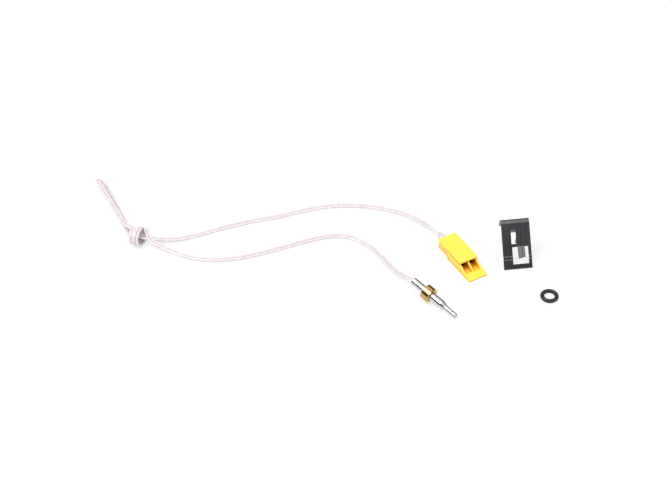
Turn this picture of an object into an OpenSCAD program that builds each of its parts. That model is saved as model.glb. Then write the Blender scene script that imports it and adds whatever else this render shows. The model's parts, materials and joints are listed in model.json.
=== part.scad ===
// Boiler temperature probe on a knotted two-wire lead, with its plug, spring clip and O-ring.
// Millimetres, +Z up. The kit lies on a flat surface at Z 0, and the origin is under the middle of the
// box round the probe, the clip and the O-ring.

/* [Probe] */
// Diameter of the sheath in front of the collar
nose_d = 4.2; // [4:0.1:5.2]
// Diameter of the sheath behind the collar
back_d = 3.8; // [3.8:0.1:4]
// Diameter of the sheath's thin tip
tip_d = 2.6; // [2.4:0.1:3.2]
// Length of the sheath behind the collar
back_l = 7.8; // [6.5:0.1:12]
// Length of the sheath in front of the collar, up to the taper
nose_l = 6.4; // [5:0.1:12]
// Length of the taper
taper_l = 2.5; // [1.5:0.1:4]
// Length of the thin tip
tip_l = 7.2; // [6.4:0.1:14]
// Wall of the sheath
sheath_wall = 0.4; // [0.3:0.05:0.45]
// Diameter of the collar
collar_d = 7.6; // [6.4:0.1:10]
// Length of the collar
collar_l = 4.6; // [3:0.1:6]

/* [Lead] */
// Outside diameter of each insulated wire
wire_d = 1.3; // [0.9:0.05:1.35]
// Diameter of each wire's stranded conductor
core_d = 0.6; // [0.4:0.05:0.7]

/* [Plug] */
// Width of the housing's front part
plug_w = 10.5; // [9.4:0.1:13]
// Height of the housing's front part
plug_h = 4.6; // [4.2:0.1:7]
// Length of the housing's narrower rear part
rear_l = 9; // [8:0.1:12]
// Length of the closed front part
front_part_l = 10; // [9:0.1:15]
// Length of the open scoop and lip in front of it
lip_l = 10; // [7:0.1:14]
// Wall of the housing
plug_wall = 0.8; // [0.6:0.05:0.9]
// Width of the latch lever
lever_w = 10.2; // [8:0.1:12.4]

/* [Clip] */
// Width of the clip's leaves
clip_w = 14.3; // [13.6:0.1:18]
// Length of the slotted front leaf
front_l = 22.8; // [22:0.1:30]
// Rise of the front leaf from the surface, in degrees
front_rise = 51; // [42:1:60]
// Width of the forked back leaf
back_leaf_w = 8; // [7:0.1:13]
// Thickness of the spring steel
clip_t = 0.5; // [0.3:0.05:0.6]

/* [O-ring] */
// Inside diameter of the O-ring
ring_id = 5; // [4.2:0.1:7]
// Thickness of the O-ring's section
ring_cs = 2; // [1.4:0.1:2.4]

/* [Hidden] */
$fn = 48;

eps = 0.01;
touch = 0.05;       // gap between pieces that bear on each other
slip = 0.02;        // radial clearance of a part held in a bore

// The whole kit is moved so that the origin lies under the middle of its own pieces
kit_shift = [0, 1.4];

// Probe, along its own X axis with the collar's front face at 0 and the tip at +X
probe_at = [-25.8, -16.8];
probe_turn = -45;
nose_r = nose_d / 2;
back_r = back_d / 2;
tip_r = tip_d / 2;
collar_r = collar_d / 2;
tip_round = tip_r * 0.7;
probe_back = -collar_l - back_l;
tip_start = nose_l + taper_l;
probe_tip = tip_start + tip_l;
bore_r = back_r - sheath_wall;
tip_bore_r = tip_r - sheath_wall;
ring_groove = 0.12; // depth of the crimp mark round the tip
seal_l = 4.2;
wire_r = wire_d / 2;
core_r = core_d / 2;
pair_off = wire_r + 0.06;
splice_wall = 0.2;
splice_l = 3;
splice_x = -collar_l - 1.5;
bead_r = tip_bore_r - 0.3;
bead_x = probe_tip - sheath_wall - 0.25 - bead_r;
bead_wire_r = 0.14;
sleeve_r = 0.32;
bead_off = sleeve_r + 0.03;
lead_from = splice_x + 0.55 * splice_l;
lead_slant = atan2(pair_off - bead_off, bead_x - lead_from);

// The probe rests on the collar's front rim and on the rounded tip
rest_run = probe_tip - tip_round;
rest_drop = collar_r - (tip_r - tip_round);
probe_tilt = atan2(rest_drop, rest_run) - asin(tip_round / norm([rest_run, rest_drop]));
seat_h = collar_r * cos(probe_tilt);

// Plug, along its own X axis from the lever's rear edge at 0, on the surface at Z 0
plug_at = [-16.75, 24.25];
plug_turn = -60;
mouth_x = rear_l + front_part_l;
lip_x = mouth_x + lip_l;
rear_h = plug_h - 0.6;
cell_gap = 0.9;
side_wall = 1.1;
cell_w = (plug_w - cell_gap - 2 * side_wall) / 2;
cell_y = (cell_w + cell_gap) / 2;
rear_cell_w = cell_w - 0.7;
rear_w = 2 * cell_y + rear_cell_w + 1;
cell_h = rear_h - plug_wall - 0.6;
cell_z = plug_wall + cell_h / 2;
lever_t = 1;
lever_z = plug_h + 0.4;
lever_l = mouth_x + 1;
lever_lip = 0.25;
rib_r = 0.5;
rib_slip = 0.08;
pivot_x = rear_l + 1;
pivot_z = lever_z;
contact_t = 0.3;
contact_w = cell_w - 0.5;
contact_h = cell_h - 0.3;
contact_l = 6.4;
contact_x = mouth_x - contact_l - 0.6;
barrel_l = 3.6;
barrel_wall = 0.3;

// Clip: one bent strip that stands like a tent on its two leaves, and the front leaf's cut-outs,
// measured across from its left edge and down from the bend
clip_at = [18.1, 6.3];
clip_turn = 7.6;
bend_r = 1.4;
back_lean = 6;
jog_at = [16.2, 18.2];
jog_out = 0.35;
left_strip = 4.6;
slot_w = 2.5;
slot_top = 3.4;
slot_l = 6.9;
web_l = 1.6;
opening_w = 8;
opening_l = 8.5;
tongue_from = 2.7;
tongue_w = 3.5;
tongue_l = 6.3;
tongue_bend = 12;
prong_w = 1.4;
notch_l = 8.2;
shoulder_l = 3;

// O-ring on the surface
ring_at = [31.3, -13.8];
ring_r = (ring_id + ring_cs) / 2;

// Knot: a short drum round the wraps. Loop: the folded bight beyond it
knot_at = [-171, 25];
knot_turn = -12;
knot_r = 4.9;
knot_l = 9.4;
knot_round = 1.2;
run_z = 3.4;
run_apart = 1.4;
loop_at = [-174, 24];
loop_turn = 114;
loop_l = 50;
loop_w = 7.4;
loop_h = 6.4;

// Routes of the middle of the two-wire lead: x, y and height above the surface
probe_route = [[-38, -4.8, 5.4], [-41.5, -0.6, 3.6], [-45, 6, 1.8], [-50.5, 15.6, 0.8], [-55, 21.6, 0.7],
    [-60, 26, 0.7], [-65, 28.8, 0.7], [-70, 29.8, 0.7], [-76, 29.4, 0.7], [-84, 27, 0.7], [-93, 23.4, 0.7],
    [-103, 19.4, 0.7], [-113, 15.6, 0.7], [-123, 13, 0.7], [-133, 12.2, 0.7], [-142, 13.4, 0.7],
    [-150, 16.2, 0.9], [-157.5, 19.6, 1.8]];
plug_route = [[-25, 36.4, 1.2], [-32, 43, 0.7], [-40, 47.8, 0.7], [-50, 51.2, 0.7], [-60, 52.8, 0.7],
    [-70, 53, 0.7], [-80, 51.6, 0.7], [-90, 48.6, 0.7], [-100, 45, 0.7], [-111, 42, 0.7], [-121, 38.8, 0.7],
    [-131, 35.2, 0.7], [-140, 31.2, 0.7], [-148, 28, 0.9], [-156, 25.8, 1.8]];

function turn(a, p) = [p.x * cos(a) - p.y * sin(a), p.x * sin(a) + p.y * cos(a), p.z];
function side_of(d) = [-d.y, d.x, 0] / norm([d.x, d.y]);
// A point of the probe, plug or knot, given in its own axes, in the kit's place above the surface
function from_probe(p) =
    turn(probe_turn, [p.x * cos(probe_tilt) + p.z * sin(probe_tilt), p.y,
        p.z * cos(probe_tilt) - p.x * sin(probe_tilt) + seat_h]) + [probe_at.x, probe_at.y, 0];
function from_plug(p) = turn(plug_turn, p) + [plug_at.x, plug_at.y, 0];
function from_knot(p) = turn(knot_turn, p) + [knot_at.x, knot_at.y, 0];

module on_surface() { translate([kit_shift.x, kit_shift.y, 0]) children(); }
module placed(at, angle, z = 0) { on_surface() translate([at.x, at.y, z]) rotate([0, 0, angle]) children(); }
module in_probe() { placed(probe_at, probe_turn, seat_h) rotate([0, probe_tilt, 0]) children(); }
module in_plug() { placed(plug_at, plug_turn) children(); }
module in_clip() { placed(clip_at, clip_turn) children(); }
// A solid of revolution about X, from [x, radius] points
module turned(points) { rotate([0, 90, 0]) rotate_extrude() polygon([for (p = points) [p[1], p[0]]]); }
// A round bar along X, or a tube where it has a bore
module bar(x0, x1, r, bore = 0) {
    translate([x0, 0, 0]) rotate([0, 90, 0]) difference() {
        cylinder(r = r, h = x1 - x0);
        if (bore > 0) translate([0, 0, -eps]) cylinder(r = bore, h = x1 - x0 + 2 * eps);
    }
}

/* Probe */
module sheath() {
    groove_x = tip_start + 0.55 * tip_l;
    outside = [[probe_back, back_r - 0.15], [probe_back + 0.15, back_r], [0, back_r], [0, nose_r],
        [nose_l, nose_r], [tip_start, tip_r], [groove_x, tip_r], [groove_x + 0.3, tip_r - ring_groove],
        [groove_x + 0.6, tip_r],
        for (a = [0 : 10 : 80]) [rest_run + tip_round * sin(a), tip_r - tip_round + tip_round * cos(a)],
        [probe_tip, tip_r - tip_round], [probe_tip, 0]];
    inside = [[probe_tip - sheath_wall, 0], [probe_tip - sheath_wall, tip_bore_r - 0.2],
        [probe_tip - sheath_wall - 0.2, tip_bore_r], [tip_start - 0.2, tip_bore_r], [nose_l - 0.2, bore_r],
        [probe_back, bore_r]];
    color("silver") in_probe() turned(concat(outside, inside));
}
module collar() {
    edge = 0.25;
    color("goldenrod") in_probe() turned([[-collar_l, back_r + slip], [-collar_l, collar_r - edge],
        [-collar_l + edge, collar_r], [-edge, collar_r], [-slip, collar_r - edge],
        [-slip, nose_r + 0.1], [-edge, back_r + slip]]);
}
module back_seal() {
    color("dimgray") in_probe() difference() {
        bar(probe_back, probe_back + seal_l, bore_r - slip);
        for (s = [-1, 1]) translate([0, s * pair_off, 0])
            bar(probe_back - 1, probe_back + seal_l + 1, wire_r + slip);
    }
}
module body_liner() {
    color("khaki") in_probe()
        bar(probe_back + seal_l + touch, nose_l - 0.6, bore_r - slip, bore_r - slip - 0.12);
}
module lead_tail(s) {
    color("ivory") in_probe() translate([0, s * pair_off, 0])
        bar(probe_back, splice_x - 1, wire_r, core_r + slip / 2);
}
module core(s) {
    color("peru") in_probe() translate([0, s * pair_off, 0]) 
        bar(probe_back + touch, splice_x + 0.45 * splice_l, core_r);
}
module splice(s) {
    color("silver") in_probe() translate([0, s * pair_off, 0])
        bar(splice_x, splice_x + splice_l, core_r + slip + splice_wall, core_r + slip);
}
// A bead lead's own axis: it slants in from its splice to the bead
module along_lead(s) { translate([lead_from, s * pair_off, 0]) rotate([0, 0, -s * lead_slant]) children(); }
module bead_lead(s) {
    color("silver") in_probe() along_lead(s) bar(0, bead_x - bead_r - touch - lead_from, bead_wire_r);
}
module lead_sleeve(s) {
    color("white") in_probe() along_lead(s)
        bar(splice_x + splice_l + 0.6 - lead_from, bead_x - bead_r - 1 - lead_from, sleeve_r,
            bead_wire_r + slip);
}
module sensing_bead() {
    color("darkred") in_probe() translate([bead_x, 0, 0]) sphere(r = bead_r);
}
module tip_compound() {
    color("whitesmoke") in_probe() difference() {
        bar(bead_x - bead_r - 0.8, probe_tip - sheath_wall - 0.22, tip_bore_r - slip);
        translate([bead_x, 0, 0]) sphere(r = bead_r + slip);
        for (s = [-1, 1]) along_lead(s)
            bar(bead_x - bead_r - 1.2 - lead_from, bead_x - lead_from, bead_wire_r + slip);
    }
}

/* Lead */
// A tube swept along points, with its first and last rings square to the given directions
module swept(points, first_dir, last_dir, r, sides = 8) {
    n = len(points);
    rings = [for (i = [0 : n - 1])
        let (d = i == 0 ? first_dir : i == n - 1 ? last_dir : points[i + 1] - points[i - 1],
            t = d / norm(d), u = side_of(t), v = cross(t, u))
        [for (k = [0 : sides - 1])
            let (a = 360 * (k + 0.5) / sides) points[i] + r * (u * cos(a) + v * sin(a))]];
    faces = [for (i = [0 : n - 2], k = [0 : sides - 1])
        let (a = i * sides + k, b = i * sides + (k + 1) % sides)
        each [[a, b, b + sides], [a, b + sides, a + sides]]];
    caps = [[for (k = [sides - 1 : -1 : 0]) k], [for (k = [0 : sides - 1]) (n - 1) * sides + k]];
    polyhedron([for (ring = rings) each ring], concat(faces, caps));
}
// The route of one wire: the middle route set over to one side, between its two ends
function beside(start, route, end, s) = concat([for (p = start) p],
    [for (i = [0 : len(route) - 1])
        let (a = i == 0 ? start[len(start) - 1] : route[i - 1],
            b = i == len(route) - 1 ? end[0] : route[i + 1])
        route[i] + s * pair_off * side_of(b - a)],
    [for (p = end) p]);
module probe_run(s) {
    exit = [for (x = [touch, 2]) from_probe([probe_back - x, s * pair_off, 0])];
    entry = [for (x = [3, touch]) from_knot([knot_l / 2 + x, s * pair_off - run_apart, run_z])];
    color("ivory") on_surface()
        swept(beside(exit, probe_route, entry, -s), exit[1] - exit[0], entry[1] - entry[0], wire_r);
}
module plug_run(s) {
    exit = [for (x = [touch, 2.5]) from_plug([-x, s * cell_y, cell_z]),
        from_plug([-7, s * pair_off, cell_z - 0.3])];
    entry = [for (x = [3, touch]) from_knot([knot_l / 2 + x, s * pair_off + run_apart, run_z])];
    color("ivory") on_surface()
        swept(beside(exit, plug_route, entry, -s), exit[1] - exit[0], entry[1] - entry[0], wire_r);
}
module lead_knot() {
    color("ivory") placed(knot_at, knot_turn, knot_r) rotate([0, 90, 0])
        translate([0, 0, -knot_l / 2]) rotate_extrude() polygon([[0, 0], [knot_r - knot_round, 0],
            [knot_r, knot_round], [knot_r, knot_l - knot_round], [knot_r - knot_round, knot_l], [0, knot_l]]);
}
module lead_loop() {
    color("ivory") placed(loop_at, loop_turn) linear_extrude(loop_h) {
        translate([0, -loop_w / 2]) square([loop_l - loop_w / 2, loop_w]);
        translate([loop_l - loop_w / 2, 0]) circle(d = loop_w);
    }
}

/* Plug */
// The front part's side outline: a closed block, then a scoop that slopes down to a flat lip
module plug_side() {
    lip_t = plug_wall + 0.4;
    polygon([[rear_l, 0], [lip_x, 0], [lip_x, lip_t - 0.4], [lip_x - 0.8, lip_t],
        [mouth_x + 0.55 * lip_l, lip_t], [mouth_x, plug_h], [rear_l, plug_h]]);
}
module across(w) { translate([0, w / 2, 0]) rotate([90, 0, 0]) linear_extrude(w) children(); }
module plug_housing() {
    color("gold") in_plug() difference() {
        union() {
            across(plug_w) plug_side();
            translate([0, -rear_w / 2, 0]) cube([rear_l + 1, rear_w, rear_h]);
        }
        for (s = [-1, 1]) {
            translate([-1, s * cell_y - rear_cell_w / 2, plug_wall]) cube([rear_l + 2, rear_cell_w, cell_h]);
            translate([rear_l + 0.5, s * cell_y - cell_w / 2, plug_wall])
                cube([front_part_l, cell_w, cell_h]);
            translate([mouth_x - 0.6, s * cell_y - cell_w / 2, plug_wall])
                cube([0.6 * lip_l, cell_w, plug_h]);
        }
        translate([pivot_x, 0, pivot_z]) rotate([90, 0, 0])
            cylinder(r = rib_r + rib_slip, h = plug_w + 2, center = true);
    }
}
module latch_lever() {
    color("gold") in_plug() {
        across(lever_w) polygon([[0, lever_z + 0.2], [0.2, lever_z], [lever_l - 0.9, lever_z],
            [lever_l - 0.7, lever_z - lever_lip], [lever_l, lever_z - lever_lip],
            [lever_l, lever_z + lever_t - 0.4],
            [lever_l - 0.4, lever_z + lever_t], [0.4, lever_z + lever_t], [0, lever_z + lever_t - 0.4]]);
        translate([pivot_x, 0, pivot_z]) rotate([90, 0, 0])
            cylinder(r = rib_r, h = lever_w - 0.4, center = true);
    }
}
module terminal(s) {
    w = contact_w;
    z0 = plug_wall + touch;
    color("lightgray") in_plug() translate([0, s * cell_y, 0]) {
        translate([contact_x, -w / 2, z0]) difference() {
            cube([contact_l, w, contact_h]);
            translate([-1, contact_t, contact_t])
                cube([contact_l + 2, w - 2 * contact_t, contact_h - 2 * contact_t]);
        }
        translate([contact_x - 1.2, -w / 4, z0]) cube([1.4, w / 2, contact_t]);
        translate([contact_x - 1 - barrel_l, -core_r - barrel_wall, z0]) difference() {
            cube([barrel_l, 2 * (core_r + barrel_wall), cell_z + core_r + 0.2 - z0]);
            translate([-1, barrel_wall - slip, barrel_wall])
                cube([barrel_l + 2, 2 * (core_r + slip), cell_h]);
        }
    }
}
module plug_tail(s) {
    color("ivory") in_plug() translate([0, s * cell_y, cell_z])
        bar(0, contact_x - 1 - barrel_l - touch, wire_r, core_r + slip / 2);
}
module plug_core(s) {
    color("peru") in_plug() translate([0, s * cell_y, cell_z]) bar(touch, contact_x - 1.4, core_r);
}

/* Clip */
// Side view of the bent strip: up the front leaf with its jog, round the bend, down the back leaf
function up_leaf(d, out = 0) = [(front_l - d) * cos(front_rise) - out * sin(front_rise),
    (front_l - d) * sin(front_rise) + out * cos(front_rise)];
bend_mid = up_leaf(0) + bend_r * [sin(front_rise), -cos(front_rise)];
bend_out = bend_r + clip_t;
back_from = bend_mid + bend_r * [cos(back_lean), sin(back_lean)];
back_l_clip = back_from.y / cos(back_lean);
module clip_side() {
    outer = [up_leaf(front_l, clip_t), up_leaf(jog_at[1], clip_t), up_leaf(jog_at[1] - 0.4, clip_t + jog_out),
        up_leaf(jog_at[0] + 0.4, clip_t + jog_out), up_leaf(jog_at[0], clip_t)];
    inner = [for (p = [[jog_at[0], 0], [jog_at[0] + 0.4, jog_out], [jog_at[1] - 0.4, jog_out], [jog_at[1], 0],
        [front_l, 0]]) up_leaf(p[0], p[1])];
    polygon(concat(outer,
        [for (a = [90 + front_rise : -12 : back_lean]) bend_mid + bend_out * [cos(a), sin(a)]],
        [bend_mid + bend_out * [cos(back_lean), sin(back_lean)],
            [back_from.x + clip_t / cos(back_lean) + back_l_clip * sin(back_lean), 0],
            [back_from.x + back_l_clip * sin(back_lean), 0], back_from],
        [for (a = [back_lean + 12 : 12 : 90 + front_rise]) bend_mid + bend_r * [cos(a), sin(a)]],
        inner));
}
// The front leaf's plane: X across from the left edge, Z up from the bend's edge, Y through the sheet
module on_leaf() {
    translate([-clip_w / 2, up_leaf(0)[0], up_leaf(0)[1]]) rotate([front_rise - 90, 0, 0]) children();
}
module spring_clip() {
    opening_top = slot_top + slot_l + web_l;
    opening_x = left_strip + 0.2;
    color("slategray") in_clip() {
        difference() {
            rotate([90, 0, 90]) translate([0, 0, -clip_w / 2]) linear_extrude(clip_w) clip_side();
            on_leaf() {
                translate([left_strip, -2, -slot_top - slot_l]) cube([slot_w, 3.5, slot_l]);
                translate([opening_x, -2, -opening_top - opening_l]) cube([opening_w, 3.5, opening_l]);
            }
            translate([prong_w - back_leaf_w / 2, back_from.x - 1, -1])
                cube([back_leaf_w - 2 * prong_w, 6, notch_l + 1]);
            for (s = [-1, 1]) translate([s * (back_leaf_w + clip_w) / 2 - clip_w / 2, back_from.x - 1, -1])
                cube([clip_w, 6, back_from.y - shoulder_l + 1]);
        }
        on_leaf() translate([opening_x + tongue_from, 0, -opening_top + 0.2]) rotate([-tongue_bend, 0, 0])
            rotate([90, 0, 0]) linear_extrude(clip_t)
                polygon([[0, 0], [tongue_w, 0], [tongue_w, 0.8 - tongue_l], [0, -tongue_l]]);
    }
}

/* O-ring */
module o_ring() {
    color("black") on_surface() translate([ring_at.x, ring_at.y, ring_cs / 2])
        rotate_extrude() translate([ring_r, 0]) circle(d = ring_cs);
}

sheath();
collar();
back_seal();
body_liner();
lead_tail(1);  // lead_tail_a
lead_tail(-1);  // lead_tail_b
core(1);  // core_a
core(-1);  // core_b
splice(1);  // splice_a
splice(-1);  // splice_b
bead_lead(1);  // bead_lead_a
bead_lead(-1);  // bead_lead_b
lead_sleeve(1);  // lead_sleeve_a
lead_sleeve(-1);  // lead_sleeve_b
sensing_bead();
tip_compound();
probe_run(1);  // probe_run_a
probe_run(-1);  // probe_run_b
plug_run(1);  // plug_run_a
plug_run(-1);  // plug_run_b
lead_knot();
lead_loop();
plug_housing();
latch_lever();
terminal(1);  // terminal_a
terminal(-1);  // terminal_b
plug_tail(1);  // plug_tail_a
plug_tail(-1);  // plug_tail_b
plug_core(1);  // plug_core_a
plug_core(-1);  // plug_core_b
spring_clip();
o_ring();
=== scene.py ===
"""The looks of the boiler temperature probe kit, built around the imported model. Metres, +Z up."""
import json
import math

import bpy
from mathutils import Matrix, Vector


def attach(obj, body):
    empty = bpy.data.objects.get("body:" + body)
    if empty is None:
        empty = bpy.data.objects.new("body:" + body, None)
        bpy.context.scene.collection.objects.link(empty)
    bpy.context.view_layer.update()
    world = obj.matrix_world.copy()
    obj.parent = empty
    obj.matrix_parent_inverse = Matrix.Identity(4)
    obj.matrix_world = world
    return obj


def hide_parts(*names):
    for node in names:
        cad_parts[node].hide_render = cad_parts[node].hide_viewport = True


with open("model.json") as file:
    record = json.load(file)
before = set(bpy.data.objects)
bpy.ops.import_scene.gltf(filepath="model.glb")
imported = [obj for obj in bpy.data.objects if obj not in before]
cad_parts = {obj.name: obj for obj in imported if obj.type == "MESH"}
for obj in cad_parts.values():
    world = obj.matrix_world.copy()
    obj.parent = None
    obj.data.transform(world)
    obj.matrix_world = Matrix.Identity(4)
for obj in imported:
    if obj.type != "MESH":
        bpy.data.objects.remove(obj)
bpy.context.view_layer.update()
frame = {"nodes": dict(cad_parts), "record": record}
NODES = frame["nodes"]
MM = 0.001

# The routes are middle lines of the pair
KIT_SHIFT = Vector((0, 1.4, 0))
WIRE_D = 1.3
PAIR_OFF = WIRE_D / 2 + 0.06
PROBE_AT, PROBE_TURN = (-25.8, -16.8), math.radians(-45)
PROBE_TILT, SEAT_H = math.radians(9.3015), 3.75
PROBE_BACK = -12.4      # along the probe, from the collar's front
PLUG_AT, PLUG_TURN = (-16.75, 24.25), math.radians(-60)
PLUG_ENTRY = -7         # along the plug, where the pair begins to part for the two cells
CELL_Y, CELL_Z = 2.3, 2.1
KNOT_AT = (-171, 25)
PROBE_ROUTE = [(-38, -4.8, 5.4), (-41.5, -0.6, 3.6), (-45, 6, 1.8), (-50.5, 15.6, 0.8), (-55, 21.6, 0.7),
               (-60, 26, 0.7), (-65, 28.8, 0.7), (-70, 29.8, 0.7), (-76, 29.4, 0.7), (-84, 27, 0.7),
               (-93, 23.4, 0.7), (-103, 19.4, 0.7), (-113, 15.6, 0.7), (-123, 13, 0.7), (-133, 12.2, 0.7),
               (-142, 13.4, 0.7), (-150, 16.2, 0.9), (-157.5, 19.6, 1.8)]
PLUG_ROUTE = [(-25, 36.4, 1.2), (-32, 43, 0.7), (-40, 47.8, 0.7), (-50, 51.2, 0.7), (-60, 52.8, 0.7),
              (-70, 53, 0.7), (-80, 51.6, 0.7), (-90, 48.6, 0.7), (-100, 45, 0.7), (-111, 42, 0.7),
              (-121, 38.8, 0.7), (-131, 35.2, 0.7), (-140, 31.2, 0.7), (-148, 28, 0.9), (-156, 25.8, 1.8)]

# The wraps are flattened loops that advance along their heading. The bight leaves beyond them
WRAP_HALF_WIDTH, WRAP_HALF_HEIGHT = 5.0, 4.1
WRAP_TURNS, WRAP_POINTS = 1.83, 16
WRAP_START = -0.15 * math.pi
WRAP_LENGTH = 4.6
WRAP_HEADING = math.radians(160)
BIGHT_FROM = (-175.5, 26.5)
BIGHT_TIP = (-195.6, 69.5)
BIGHT_TILT = math.radians(50)
FOLD_R = 2.9
RUN_TO_KNOT = [(-164.3, 22.6, 3.6)]
KNOT_TO_RUN = [(-171.3, 25.6, 4.4), (-167, 24.6, 4.0), (-161.5, 25, 2.8)]

CAMERA_TARGET, CAMERA_DISTANCE = (-72, 18.5, 0), 747
CAMERA_ELEVATION = math.radians(43)
LENS_MM, SENSOR_MM = 80, 36

WORLD_LEVEL = 0.75
FLOOR_HALF, FLOOR_DROP = 3000, 0.02
FLOOR_GLOW = 0.72
# Name, place, size and power in watts
LAMPS = [("key", (-500, -100, 900), 500, 7.0), ("fill", (700, -400, 600), 600, 2.0)]
LAMP_TARGET = (-60, 15, 0)
EDGE_MM = {"plug_housing": 0.12, "latch_lever": 0.15, "spring_clip": 0.06, "collar": 0.08,
           "sheath": 0.03}


# Camera

def camera():
    cam = bpy.data.objects.new("camera", bpy.data.cameras.new("camera"))
    bpy.context.scene.collection.objects.link(cam)
    target = (Vector(CAMERA_TARGET) + KIT_SHIFT) * MM
    back = Vector((0, -math.cos(CAMERA_ELEVATION), math.sin(CAMERA_ELEVATION)))
    cam.data.lens = LENS_MM
    cam.data.sensor_width = SENSOR_MM
    cam.data.clip_start = 0.01
    cam.location = target + CAMERA_DISTANCE * MM * back
    cam.rotation_euler = (target - cam.location).to_track_quat("-Z", "Y").to_euler()
    bpy.context.scene.camera = cam


# The lead

def from_probe(x, y):
    """A point of the probe, given along its axis and across it."""
    along = Vector((math.cos(PROBE_TILT) * math.cos(PROBE_TURN),
                    math.cos(PROBE_TILT) * math.sin(PROBE_TURN), -math.sin(PROBE_TILT)))
    across = Vector((-math.sin(PROBE_TURN), math.cos(PROBE_TURN), 0))
    return Vector((*PROBE_AT, SEAT_H)) + x * along + y * across


def from_plug(x, y, z):
    """A point of the plug, given along it, across it and up."""
    along = Vector((math.cos(PLUG_TURN), math.sin(PLUG_TURN), 0))
    across = Vector((-math.sin(PLUG_TURN), math.cos(PLUG_TURN), 0))
    return Vector((*PLUG_AT, 0)) + x * along + y * across + z * Vector((0, 0, 1))


def knot_middle():
    """The middle line of the wraps, from the probe's run to the start of the bight."""
    heading = Vector((math.cos(WRAP_HEADING), math.sin(WRAP_HEADING), 0))
    across = Vector((heading.y, -heading.x, 0))
    centre = Vector((*KNOT_AT, WRAP_HALF_HEIGHT + WIRE_D / 2 + 0.1))
    steps = round(WRAP_POINTS * WRAP_TURNS)
    wrap = []
    for i in range(steps + 1):
        turn = i / steps
        angle = 2 * math.pi * WRAP_TURNS * turn + WRAP_START
        wrap.append(centre + WRAP_LENGTH * (turn - 0.5) * heading
                    + WRAP_HALF_WIDTH * math.cos(angle) * across
                    - WRAP_HALF_HEIGHT * math.sin(angle) * Vector((0, 0, 1)))
    return wrap


def bight(side, lift):
    """One arm of the bight from the knot to its fold, with the fold's directions and centre."""
    start = Vector((*BIGHT_FROM, 0))
    tip = Vector((*BIGHT_TIP, 0))
    along = (tip - start).normalized()
    across = Vector((-along.y, along.x, 0))
    out = across * math.cos(BIGHT_TILT) + Vector((0, 0, math.sin(BIGHT_TILT)))
    middle_z = FOLD_R * math.sin(BIGHT_TILT) + WIRE_D / 2 + 0.75
    length = (tip - start).length - FOLD_R
    arm = []
    for share in (0, 0.15, 0.32, 0.5, 0.68, 0.85, 1):
        open_up = 0.35 + 0.65 * share
        arm.append(start + along * (length * share) + side * out * FOLD_R * open_up
                   + Vector((0, 0, middle_z + lift * (1 - share))))
    return arm, along, out, start + along * length + Vector((0, 0, middle_z))


def fold(along, out, centre):
    """The half turn at the bight's tip, between the ends of its two arms."""
    return [centre + FOLD_R * (math.sin(a) * along + math.cos(a) * out)
            for a in (math.radians(d) for d in range(22, 159, 22))]


def spread(points, s):
    """One wire of the pair, set over to one side of the middle line, and whether the sides ended swapped."""
    wire = []
    side, left = None, None
    for i, p in enumerate(points):
        d = points[min(i + 1, len(points) - 1)] - points[max(i - 1, 0)]
        flat = Vector((-d.y, d.x, 0))
        if side is None:
            side = flat.normalized()
        elif flat.length > 0.3 * d.length:
            left = flat.normalized()
            side = left if left.dot(side) >= 0 else -left
        wire.append(p + s * PAIR_OFF * side)
    return wire, side.dot(left) < 0


def smooth(points, spacing=1.1):
    """Catmull-Rom points along a given route, close enough together for a poly curve."""
    out = []
    for i in range(len(points) - 1):
        p0, p1 = points[max(i - 1, 0)], points[i]
        p2, p3 = points[i + 1], points[min(i + 2, len(points) - 1)]
        n = max(1, round((p2 - p1).length / spacing))
        for k in range(n):
            t = k / n
            out.append(0.5 * ((2 * p1) + (p2 - p0) * t + (2 * p0 - 5 * p1 + 4 * p2 - p3) * t * t
                              + (3 * p1 - p0 - 3 * p2 + p3) * t ** 3))
    out.append(points[-1])
    return out


def relaxed(points, rounds):
    """Rounds off the small kinks, with both ends held."""
    for _ in range(rounds):
        points = [points[0]] + [(points[i - 1] + 2 * points[i] + points[i + 1]) / 4
                                for i in range(1, len(points) - 1)] + [points[-1]]
    return points


def wire(name, s, material):
    """One wire of the pair, on its side s, from the probe's back to the plug, and where it leaves."""
    wrap = knot_middle()
    arm_out, along, out, centre = bight(1, 3.5)
    arm_back, _, _, _ = bight(-1, 0.5)
    lead_in = [from_probe(PROBE_BACK - x, s * PAIR_OFF) for x in (0.05, 2)]
    middle = ([Vector(p) for p in PROBE_ROUTE + RUN_TO_KNOT] + wrap + arm_out[1:]
              + fold(along, out, centre) + arm_back[::-1]
              + [Vector(p) for p in KNOT_TO_RUN + PLUG_ROUTE[::-1]])
    beside, swapped = spread(lead_in[1:] + middle + [from_plug(PLUG_ENTRY, 0, 1.8)], -s)
    end = -s if swapped else s
    lead_out = [from_plug(PLUG_ENTRY, end * PAIR_OFF, 1.8), from_plug(-2.5, end * CELL_Y, CELL_Z),
                from_plug(-0.05, end * CELL_Y, CELL_Z)]
    points = relaxed(smooth(lead_in + beside[1:-1] + lead_out), 3)
    floor = WIRE_D / 2
    points = [Vector((p.x, p.y, max(p.z, floor))) + KIT_SHIFT for p in points]
    curve = bpy.data.curves.new(name, "CURVE")
    curve.dimensions = "3D"
    curve.bevel_depth = WIRE_D / 2 * MM
    curve.bevel_resolution = 4
    curve.use_fill_caps = True
    spline = curve.splines.new("POLY")
    spline.points.add(len(points) - 1)
    for point, p in zip(spline.points, points):
        point.co = (*(p * MM), 1)
    obj = bpy.data.objects.new(name, curve)
    bpy.context.scene.collection.objects.link(obj)
    curve.materials.append(material)
    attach(obj, "sensor")
    return obj, points[0] * MM


# Materials

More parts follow.
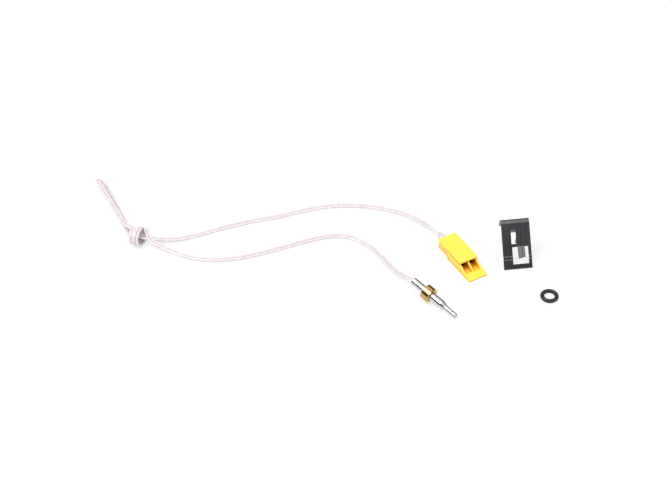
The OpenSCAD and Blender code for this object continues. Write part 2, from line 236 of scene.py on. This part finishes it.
def material(name, color, metallic=0.0, roughness=0.4, **sockets):
    """A plain material, with its tree and shader for what is linked in later."""
    mat = bpy.data.materials.new(name)
    mat.use_nodes = True
    shader = mat.node_tree.nodes["Principled BSDF"]
    shader.inputs["Base Color"].default_value = (*color, 1)
    shader.inputs["Metallic"].default_value = metallic
    shader.inputs["Roughness"].default_value = roughness
    for socket, value in sockets.items():
        shader.inputs[socket.replace("_", " ")].default_value = value
    return mat, mat.node_tree, shader


def noise(tree, scale, detail=3.0, stretch=(1, 1, 1)):
    """Noise in the object's own coordinates, in cycles per millimetre."""
    coords = tree.nodes.new("ShaderNodeTexCoord")
    mapping = tree.nodes.new("ShaderNodeMapping")
    mapping.inputs["Scale"].default_value = [c / MM for c in stretch]
    tex = tree.nodes.new("ShaderNodeTexNoise")
    tex.inputs["Scale"].default_value = scale
    tex.inputs["Detail"].default_value = detail
    tree.links.new(coords.outputs["Object"], mapping.inputs["Vector"])
    tree.links.new(mapping.outputs["Vector"], tex.inputs["Vector"])
    return tex.outputs["Fac"]


def ramp(tree, value, low, high):
    node = tree.nodes.new("ShaderNodeValToRGB")
    node.color_ramp.elements[0].position = 0.3
    node.color_ramp.elements[1].position = 0.7
    node.color_ramp.elements[0].color = (*low, 1)
    node.color_ramp.elements[1].color = (*high, 1)
    tree.links.new(value, node.inputs["Fac"])
    return node.outputs["Color"]


def scaled(tree, value, low, high):
    node = tree.nodes.new("ShaderNodeMapRange")
    node.inputs["To Min"].default_value = low
    node.inputs["To Max"].default_value = high
    tree.links.new(value, node.inputs["Value"])
    return node.outputs["Result"]


def bump(tree, shader, value, depth_mm):
    node = tree.nodes.new("ShaderNodeBump")
    node.inputs["Distance"].default_value = depth_mm * MM
    tree.links.new(value, node.inputs["Height"])
    tree.links.new(node.outputs["Normal"], shader.inputs["Normal"])


def finish_of(name, low, high, metallic, rough, scale, depth_mm, stretch=(1, 1, 1), **sockets):
    """A material whose colour, roughness and bump all vary a little over its surface."""
    mat, tree, shader = material(name, high, metallic, rough[0], **sockets)
    grain = noise(tree, scale, 4.0, stretch)
    tree.links.new(ramp(tree, grain, low, high), shader.inputs["Base Color"])
    tree.links.new(scaled(tree, grain, *rough), shader.inputs["Roughness"])
    bump(tree, shader, grain, depth_mm)
    return mat


# Darker and lighter colour, metallic, roughness range, grain in cycles per millimetre, bump in millimetres
FINISHES = {
    "nickel": ((0.5, 0.51, 0.54), (0.74, 0.75, 0.78), 1.0, (0.1, 0.2), 1.6, 0.012),
    "brass": ((0.42, 0.25, 0.09), (0.72, 0.48, 0.2), 1.0, (0.14, 0.26), 1.4, 0.01),
    # dark_resin is near black as painted shade: it gives the dark spot where the wires enter the probe's
    # back end, which is the shade inside that hollow, set on the resin fill
    "dark_resin": ((0.01, 0.01, 0.01), (0.03, 0.025, 0.025), 0, (0.2, 0.4), 1, 0.03),
    "polyimide": ((0.5, 0.25, 0.04), (0.66, 0.38, 0.08), 0, (0.3, 0.4), 1, 0.005),
    "copper": ((0.55, 0.26, 0.14), (0.75, 0.4, 0.24), 1.0, (0.25, 0.4), 3, 0.02),
    "tin": ((0.5, 0.5, 0.5), (0.7, 0.7, 0.7), 1.0, (0.25, 0.4), 2, 0.01),
    "sleeve": ((0.75, 0.75, 0.72), (0.85, 0.85, 0.83), 0, (0.4, 0.5), 2, 0.01),
    "bead_glass": ((0.2, 0.05, 0.02), (0.4, 0.12, 0.06), 0, (0.08, 0.15), 1, 0.005),
    "white_compound": ((0.78, 0.78, 0.77), (0.86, 0.86, 0.85), 0, (0.6, 0.8), 3, 0.03),
    "rubber": ((0.008, 0.008, 0.009), (0.02, 0.02, 0.022), 0, (0.36, 0.5), 1.5, 0.02),
}


def materials():
    mats = {slot: finish_of(slot, *finish) for slot, finish in FINISHES.items()}
    mats["insulation"] = finish_of("insulation", (0.66, 0.59, 0.6), (0.76, 0.69, 0.7), 0, (0.38, 0.5),
                                   0.5, 0.02, Coat_Weight=0.15, Coat_Roughness=0.3)
    # The sheet's grain is drawn out along the clip
    mats["spring_steel"] = finish_of("spring_steel", (0.12, 0.12, 0.135), (0.26, 0.26, 0.28), 1.0,
                                     (0.1, 0.2), 0.3, 0.008, stretch=(6, 0.4, 0.4))
    mats["yellow_plastic"] = plug_plastic()
    return mats


def plug_plastic():
    """Satin yellow moulding with painted shade: the colour deepens to orange where its walls face each
    other, by ambient occlusion.
    """
    mat, tree, shader = material("yellow_plastic", (0.9, 0.66, 0.02), 0, 0.35, Coat_Weight=0.1)
    grain = noise(tree, 1.2, 4.0)
    # Painted shade: the ambient occlusion factor mixes in deep orange (0.75, 0.13, 0) in the plug's cavities
    # and recesses, standing in for the shade inside them
    painted_recess_shade = tree.nodes.new("ShaderNodeAmbientOcclusion")
    painted_recess_shade.samples = 8
    painted_recess_shade.inputs["Distance"].default_value = 5 * MM
    mix = tree.nodes.new("ShaderNodeMix")
    mix.data_type = "RGBA"
    tree.links.new(scaled(tree, painted_recess_shade.outputs["AO"], 0, 1), mix.inputs["Factor"])
    mix.inputs["A"].default_value = (0.75, 0.13, 0.0, 1)
    tree.links.new(ramp(tree, grain, (0.88, 0.66, 0.04), (0.94, 0.76, 0.1)), mix.inputs["B"])
    tree.links.new(mix.outputs["Result"], shader.inputs["Base Color"])
    tree.links.new(scaled(tree, grain, 0.3, 0.42), shader.inputs["Roughness"])
    bump(tree, shader, grain, 0.015)
    return mat


def dress(mats):
    """Every CAD piece gets its slot's material, and the pieces in EDGE_MM a small edge radius."""
    slots = {row["node"]: row["material_slot"] for row in frame["record"]["subparts"]}
    for name, obj in NODES.items():
        obj.data.materials.clear()
        obj.data.materials.append(mats[slots[name]])
        if name in EDGE_MM:
            mod = obj.modifiers.new("edge", "BEVEL")
            mod.width = EDGE_MM[name] * MM
            mod.segments = 3
            mod.limit_method = "ANGLE"
            mod.angle_limit = math.radians(32)
            mod.harden_normals = True


# Light and floor

def stage():
    """A pale floor that shows partly its own white to the camera and in polished metal."""
    mesh = bpy.data.meshes.new("floor")
    half = FLOOR_HALF * MM
    corners = [(-half, -half, 0), (half, -half, 0), (half, half, 0), (-half, half, 0)]
    mesh.from_pydata(corners, [], [(0, 1, 2, 3)])
    floor = bpy.data.objects.new("floor", mesh)
    floor.location.z = -FLOOR_DROP * MM
    bpy.context.scene.collection.objects.link(floor)
    mat, tree, shader = material("floor_white", (0.85, 0.85, 0.85), 0, 0.6)
    glow = tree.nodes.new("ShaderNodeEmission")
    glow.inputs["Strength"].default_value = 1.0
    mix = tree.nodes.new("ShaderNodeMixShader")
    path = tree.nodes.new("ShaderNodeLightPath")
    seen = tree.nodes.new("ShaderNodeMath")
    seen.operation = "MAXIMUM"
    tree.links.new(path.outputs["Is Camera Ray"], seen.inputs[0])
    tree.links.new(path.outputs["Is Glossy Ray"], seen.inputs[1])
    share = tree.nodes.new("ShaderNodeMath")
    share.operation = "MULTIPLY"
    share.inputs[1].default_value = FLOOR_GLOW
    tree.links.new(seen.outputs[0], share.inputs[0])
    tree.links.new(share.outputs[0], mix.inputs["Fac"])
    tree.links.new(shader.outputs["BSDF"], mix.inputs[1])
    tree.links.new(glow.outputs["Emission"], mix.inputs[2])
    tree.links.new(mix.outputs["Shader"], tree.nodes["Material Output"].inputs["Surface"])
    mesh.materials.append(mat)


def lights():
    world = bpy.data.worlds.new("world")
    bpy.context.scene.world = world
    world.use_nodes = True
    tree = world.node_tree
    background = tree.nodes["Background"]
    background.inputs["Strength"].default_value = WORLD_LEVEL
    # Polished metal sees a darker band low round the room, as it would between studio lights
    height = tree.nodes.new("ShaderNodeSeparateXYZ")
    tree.links.new(tree.nodes.new("ShaderNodeTexCoord").outputs["Generated"], height.inputs["Vector"])
    band = tree.nodes.new("ShaderNodeMapRange")
    band.inputs["From Min"].default_value = 0.5
    band.inputs["From Max"].default_value = 0.72
    band.inputs["To Min"].default_value = 0.04
    band.inputs["To Max"].default_value = 1.3
    tree.links.new(height.outputs["Z"], band.inputs["Value"])
    mix = tree.nodes.new("ShaderNodeMix")
    mix.inputs["A"].default_value = 1.0
    tree.links.new(tree.nodes.new("ShaderNodeLightPath").outputs["Is Glossy Ray"], mix.inputs["Factor"])
    tree.links.new(band.outputs["Result"], mix.inputs["B"])
    tree.links.new(mix.outputs["Result"], background.inputs["Color"])
    target = Vector(LAMP_TARGET) * MM
    for name, place, size, power in LAMPS:
        lamp = bpy.data.lights.new(name, "AREA")
        lamp.size = size * MM
        lamp.energy = power
        obj = bpy.data.objects.new(name, lamp)
        obj.location = Vector(place) * MM
        obj.rotation_euler = (target - obj.location).to_track_quat("-Z", "Y").to_euler()
        bpy.context.scene.collection.objects.link(obj)


camera()
MATS = materials()
lead_a, exit_a = wire("lead_a", 1, MATS["insulation"])
lead_b, exit_b = wire("lead_b", -1, MATS["insulation"])
# The knot and the loop are one solid each for both wires, and lead_a stands for both of them
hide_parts("probe_run_a", "plug_run_a", "lead_knot", "lead_loop")
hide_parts("probe_run_b", "plug_run_b")
dress(MATS)
stage()
lights()

bpy.context.scene.view_settings.view_transform = "Standard"
